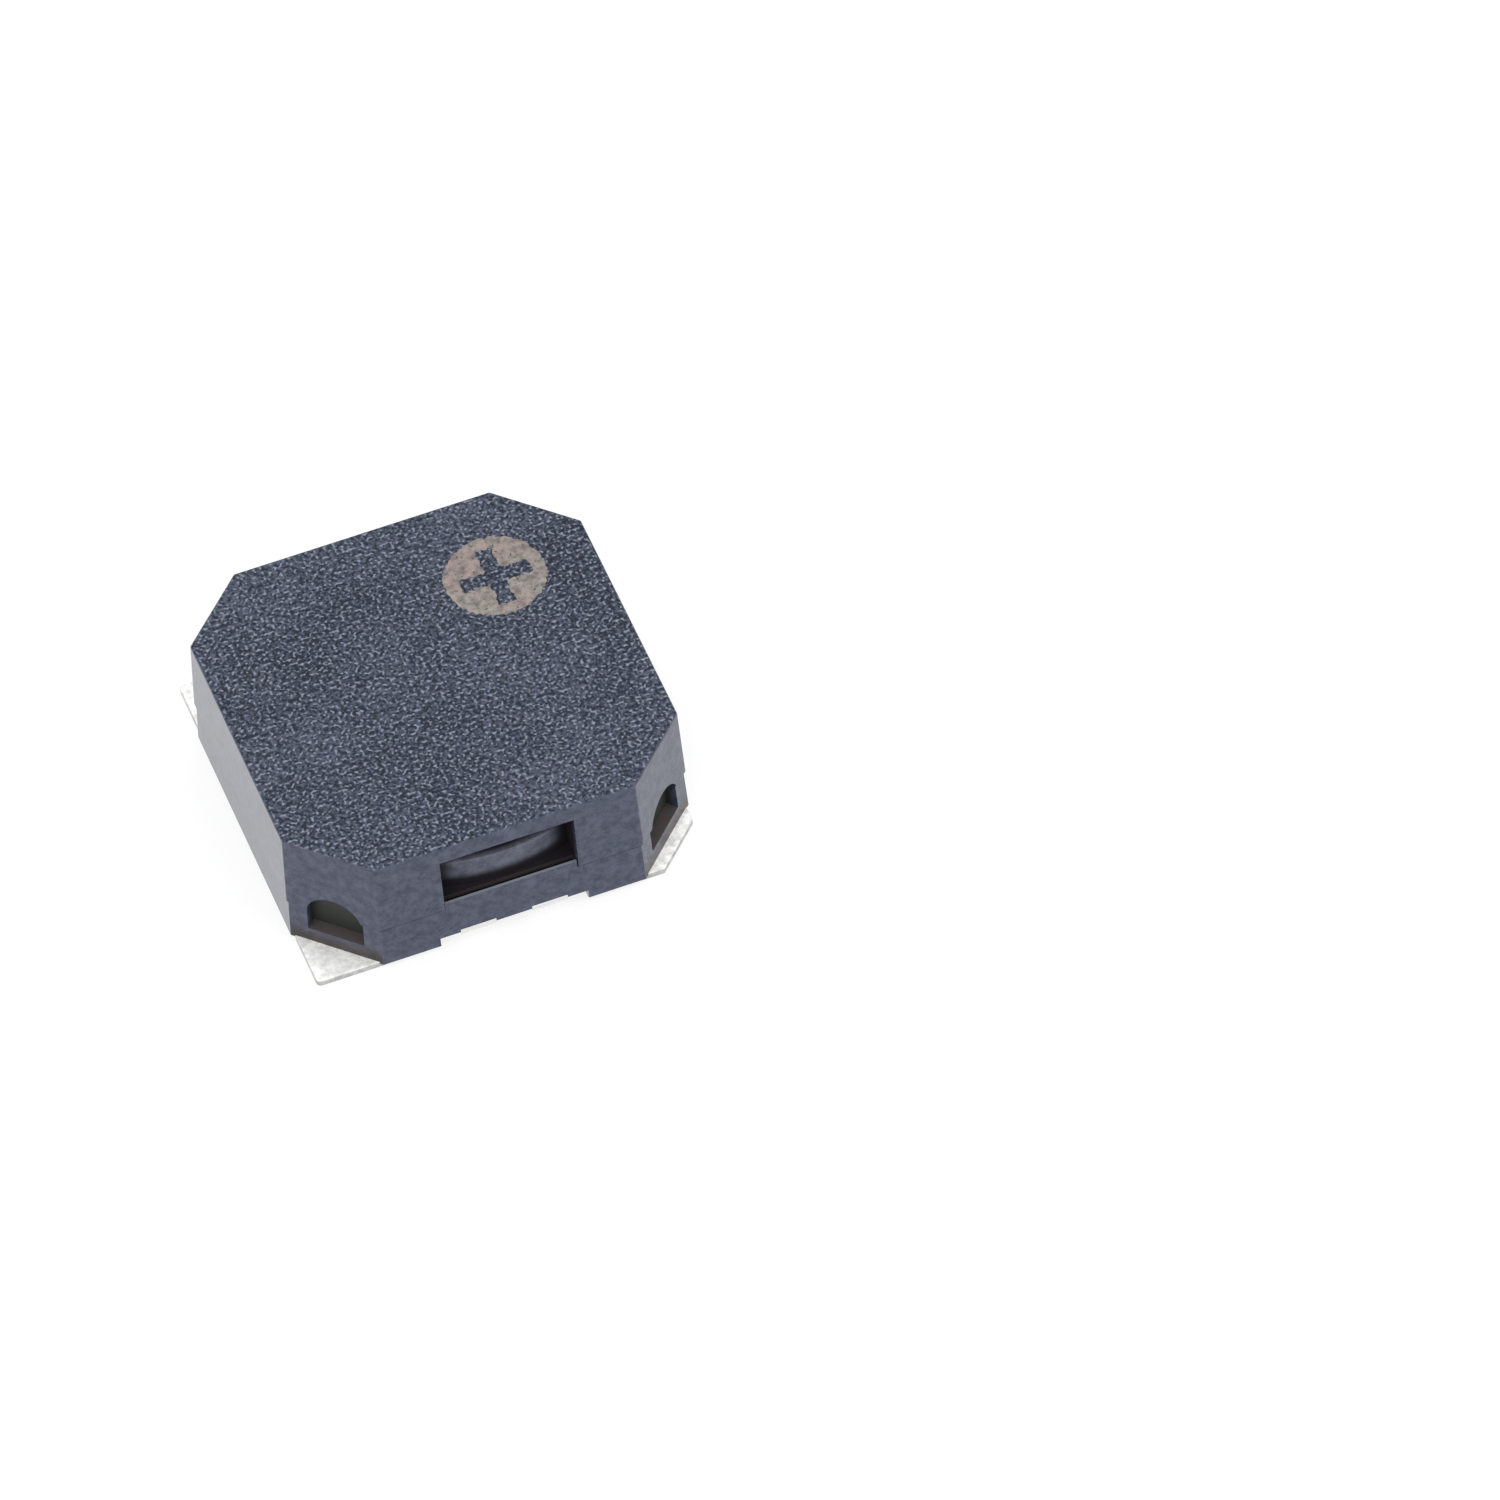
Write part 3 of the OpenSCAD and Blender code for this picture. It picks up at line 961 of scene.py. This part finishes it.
@dataclass
class PolarityMark:
    """Bleached disc on the cover that leaves a plain plus in its middle.

    Attributes:
        top: height of the cover.
        centre, radius: place and size of the disc.
        proud, sunk: how far the mark reaches above and below the top.
        plus_x, plus_y, arm: lengths and width of the arms of the plus.
        waver, waver_seed: unevenness of the edges, and the seed of its draw.
        round_steps, plus_cuts: vertices round the disc, and cuts in an edge of the plus.
        blank, cutter: heights of the disc and of the bars while the plus is cut out.
    """

    top: float
    centre: tuple[float, float] = (2.08, 2.03)
    radius: float = 1.04
    proud: float = 0.004
    sunk: float = 0.01
    plus_x: float = 1.5
    plus_y: float = 1.48
    arm: float = 0.35
    waver: float = 0.03
    waver_seed: int = 3
    round_steps: int = 96
    plus_cuts: int = 7
    blank: float = 1.0
    cutter: float = 4.0

    def outline(self) -> bpy.types.Object:
        """Models the edges of the disc and of the plus that is cut out of it.

        Returns:
            The edges, at the foot of the mark.
        """
        x, y = self.centre
        foot = self.top - self.sunk
        clear_selection()
        bpy.ops.mesh.primitive_circle_add(
            vertices=self.round_steps, radius=self.radius, fill_type="NGON", location=(x, y, foot)
        )
        bpy.ops.object.transform_apply(location=True)
        piece = bpy.context.object
        raise_sheet(piece, self.blank)
        for width, length in ((self.plus_x, self.arm), (self.arm, self.plus_y)):
            bar = block((width, length, self.cutter), (x, y, self.top))
            combine(piece, bar, Joining.CUT_OUT)
        pick_vertices(piece, lambda co: co.z > self.top)
        bpy.ops.mesh.delete(type="VERT")
        bpy.ops.mesh.select_mode(type="EDGE")
        bpy.ops.mesh.select_all(action="SELECT")
        bpy.ops.mesh.region_to_loop()
        bpy.ops.mesh.select_all(action="INVERT")
        bpy.ops.mesh.delete(type="EDGE")
        bpy.ops.object.mode_set(mode="OBJECT")
        return piece

    def roughen(self, piece: bpy.types.Object) -> None:
        """Makes the edges uneven, as the grain of the moulding breaks them, and fills the mark.

        Args:
            piece: edges of the mark.
        """
        middle = Vector(self.centre)
        inner = self.radius - self.arm / 2.0
        pick_vertices(piece, lambda co: (co.xy - middle).length < inner)
        bpy.ops.mesh.subdivide(number_cuts=self.plus_cuts)
        bpy.ops.mesh.select_all(action="SELECT")
        bpy.ops.transform.vertex_random(offset=self.waver, uniform=1.0, seed=self.waver_seed)
        bpy.ops.transform.resize(value=(1.0, 1.0, 0.0), center_override=(0.0, 0.0, self.top - self.sunk))
        bpy.ops.mesh.fill()
        bpy.ops.object.mode_set(mode="OBJECT")

    def build(self, material: bpy.types.Material) -> bpy.types.Object:
        """Models the mark.

        Args:
            material: its finish.

        Returns:
            The finished piece.
        """
        piece = self.outline()
        self.roughen(piece)
        raise_sheet(piece, self.sunk + self.proud)
        return hand_over(piece, "polarity_mark", material)


def direction(azimuth: float, elevation: float) -> Vector:
    """Finds the direction from the part to a lamp or a camera.

    Args:
        azimuth: degrees round the part from its front.
        elevation: degrees above the floor.

    Returns:
        The direction, of length 1.
    """
    turn, rise = math.radians(azimuth), math.radians(elevation)
    return Vector((math.sin(turn) * math.cos(rise), -math.cos(turn) * math.cos(rise), math.sin(rise)))


@dataclass
class Lamp:
    """Soft square lamp that looks at the part, in degrees, metres and watts."""

    name: str
    azimuth: float
    elevation: float
    power: float
    distance: float = 0.3
    size: float = 0.25

    def build(self) -> None:
        """Sets up the lamp."""
        back = direction(self.azimuth, self.elevation)
        data = bpy.data.lights.new(self.name, "AREA")
        data.size, data.energy = self.size, self.power
        lamp = bpy.data.objects.new(self.name, data)
        lamp.location = back * self.distance
        lamp.rotation_mode = "QUATERNION"
        lamp.rotation_quaternion = (-back).to_track_quat("-Z", "Y")
        bpy.context.scene.collection.objects.link(lamp)


@dataclass
class Studio:
    """White floor, white surroundings, soft lamps and the camera.

    Attributes:
        floor_size, floor_drop: width of the floor in metres, and its depth under the pads.
        floor_grey, floor_lighter, floor_blots: its grey, the share to which it lightens, and its blots
            to a millimetre.
        floor_glow: light that makes the floor white to the eye.
        ambient: strength of the surroundings as a light.
        lens, sensor, clip: the camera's lens and sensor, and its nearest and farthest point in metres.
        camera_place, azimuth, elevation, roll: where the camera is, and how it is turned, in degrees.
    """

    floor_size: float = 1.2
    floor_drop: float = 0.01
    floor_grey: float = 0.19
    floor_lighter: float = 1.05
    floor_blots: float = 0.05
    floor_glow: float = 0.8
    ambient: float = 0.88
    lens: float = 312.0
    sensor: float = 36.0
    clip: Span = (0.01, 5.0)
    camera_place: Point = (-44.23, -161.298, 201.743)
    azimuth: float = -17.461
    elevation: float = 50.36
    roll: float = -4.492

    @staticmethod
    def seen_directly(sheet: NodeSheet) -> Socket:
        """Finds the rays that show a surface, and not the light from it.

        Args:
            sheet: sheet to work on.

        Returns:
            1 for camera, glossy and transmission rays, and 0 for the rest.
        """
        path = sheet.add("ShaderNodeLightPath").outputs
        glossy = sheet.sums("MAXIMUM", path["Is Glossy Ray"], path["Is Transmission Ray"])
        return sheet.sums("MAXIMUM", path["Is Camera Ray"], glossy)

    def lay_floor(self) -> None:
        """Lays the floor, which shows as white and keeps a faint shadow."""
        clear_selection()
        bpy.ops.mesh.primitive_plane_add(size=self.floor_size, location=(0.0, 0.0, -self.floor_drop * MM))
        floor = bpy.context.object
        floor.name = "floor"
        material, sheet, shader = new_material("white_floor")
        paper = sheet.noise(sheet.millimetres(), self.floor_blots, detail=2.0)
        grey, lighter = self.floor_grey, self.floor_grey * self.floor_lighter
        sheet.feed(shader.inputs["Base Color"], sheet.blend(paper, (grey,) * 3, (lighter,) * 3))
        sheet.feed(shader.inputs["Roughness"], 1.0)
        sheet.feed(shader.inputs["Specular IOR Level"], 0.0)
        sheet.feed(shader.inputs["Emission Color"], (1.0, 1.0, 1.0))
        glow = sheet.sums("MULTIPLY", self.seen_directly(sheet), self.floor_glow)
        sheet.feed(shader.inputs["Emission Strength"], glow)
        floor.data.materials.append(material)
        floor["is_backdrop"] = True

    def set_surroundings(self) -> None:
        """Makes the surroundings white to the eye and softer as a light."""
        world = bpy.data.worlds.new("surroundings")
        world.use_nodes = True
        sheet = NodeSheet(world.node_tree)
        background = world.node_tree.nodes["Background"]
        sheet.feed(background.inputs["Color"], (1.0, 1.0, 1.0))
        level = sheet.share_out(self.seen_directly(sheet), (self.ambient, 1.0))
        sheet.feed(background.inputs["Strength"], level)
        bpy.context.scene.world = world

    def set_camera(self) -> None:
        """Puts the camera where the photograph was taken from."""
        back = direction(self.azimuth, self.elevation)
        data = bpy.data.cameras.new("camera")
        data.lens, data.sensor_width, data.sensor_fit = self.lens, self.sensor, "HORIZONTAL"
        data.clip_start, data.clip_end = self.clip
        camera = bpy.data.objects.new("camera", data)
        aim = (-back).to_track_quat("-Z", "Y").to_matrix().to_4x4()
        place = Matrix.Translation(Vector(self.camera_place) * MM)
        camera.matrix_world = place @ aim @ Matrix.Rotation(math.radians(self.roll), 4, "Z")
        bpy.context.scene.collection.objects.link(camera)
        bpy.context.scene.camera = camera

    def build(self) -> None:
        """Sets the whole stage."""
        self.lay_floor()
        self.set_surroundings()
        for lamp in (
            Lamp("key_lamp", azimuth=-55.0, elevation=45.0, power=0.34),
            Lamp("fill_lamp", azimuth=50.0, elevation=40.0, power=0.3),
            Lamp("top_lamp", azimuth=170.0, elevation=70.0, power=0.24),
        ):
            lamp.build()
        self.set_camera()
        bpy.context.scene.view_settings.view_transform = "Standard"


def finishes() -> Iterator[tuple[str, bpy.types.Material]]:
    """Makes the finishes of the record's material slots.

    Yields:
        Each slot and its material.
    """
    made = {
        "cover_moulding": MouldedFinish("speckled_cover_moulding"),
        "base_moulding": MouldedFinish("speckled_base_moulding", crest=(0.069, 0.083, 0.123)),
        "tinned_sheet": MetalFinish(
            "mottled_tin",
            light=(0.96, 0.96, 0.95),
            dark=(0.68, 0.68, 0.67),
            pattern=Pattern.CLOUDED,
            marks=6.0,
            smooth=0.3,
            dull=0.5,
            depth=0.012,
            metallic=0.2,
        ),
        "plated_steel": MetalFinish(
            "plated_steel",
            light=(0.92, 0.92, 0.91),
            dark=(0.78, 0.78, 0.77),
            pattern=Pattern.ROLLED,
            marks=8.0,
            smooth=0.28,
            dull=0.42,
            cut=1.0,
        ),
        "core_iron": MetalFinish(
            "turned_iron",
            light=(0.56, 0.55, 0.54),
            dark=(0.4, 0.4, 0.4),
            pattern=Pattern.TURNED,
            marks=9.0,
            smooth=0.3,
            dull=0.5,
        ),
        "magnet": MetalFinish(
            "sintered_magnet",
            light=(0.2, 0.2, 0.21),
            dark=(0.11, 0.11, 0.12),
            pattern=Pattern.CLOUDED,
            marks=14.0,
            smooth=0.6,
            dull=0.8,
        ),
        "winding": MetalFinish(
            "enamelled_copper",
            light=(0.72, 0.36, 0.16),
            dark=(0.45, 0.2, 0.08),
            pattern=Pattern.WOUND,
            marks=12.0,
            smooth=0.25,
            dull=0.4,
        ),
        "spring_steel": MetalFinish(
            "rolled_spring_steel",
            light=(0.66, 0.67, 0.69),
            dark=(0.52, 0.53, 0.55),
            pattern=Pattern.ROLLED,
            marks=10.0,
            smooth=0.22,
            dull=0.36,
        ),
        "solder": MetalFinish(
            "bright_solder",
            light=(0.78, 0.78, 0.77),
            dark=(0.6, 0.6, 0.6),
            pattern=Pattern.CLOUDED,
            marks=6.0,
            smooth=0.18,
            dull=0.36,
        ),
    }
    for slot, finish in made.items():
        yield slot, finish.material()


def dress_nodes(frame: dict, materials: dict[str, bpy.types.Material]) -> None:
    """Gives every CAD node the finish of its slot.

    Args:
        materials: material of each slot.
    """
    for part in frame["record"]["subparts"]:
        node = frame["nodes"][part["node"]]
        node.data.materials.clear()
        node.data.materials.append(materials[part["material_slot"]])
        LOG.info("%s: %s", part["node"], part["material_slot"])


def in_millimetres(length: float) -> float:
    """Returns a length of the frame in millimetres, rounded to the micrometre."""
    return round(length / MM, 3)


def main() -> None:
    """Loads the frame, dresses it, adds the pieces and sets the stage."""
    logging.basicConfig(level=logging.INFO, format="%(message)s")
    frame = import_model()
    cad_box = [list(corner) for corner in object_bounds()]
    (left, _, _), (right, _, top) = cad_box
    width = in_millimetres(right - left)
    clear_selection()
    materials = dict(finishes())
    dress_nodes(frame, materials)
    for terminal in (
        TinnedTerminal("terminal_positive", Corner.BACK_RIGHT, width, lugged=True),
        TinnedTerminal("terminal_negative", Corner.FRONT_RIGHT, width, lugged=True, strip=0.25),
        TinnedTerminal("support_terminal_front", Corner.FRONT_LEFT, width),
        TinnedTerminal("support_terminal_back", Corner.BACK_LEFT, width),
    ):
        terminal.build(materials["tinned_sheet"])
    PolarityMark(in_millimetres(top)).build(MarkFinish("bleached_mark").material())
    Studio().build()
    clear_selection()


if __name__ == "__main__":
    main()
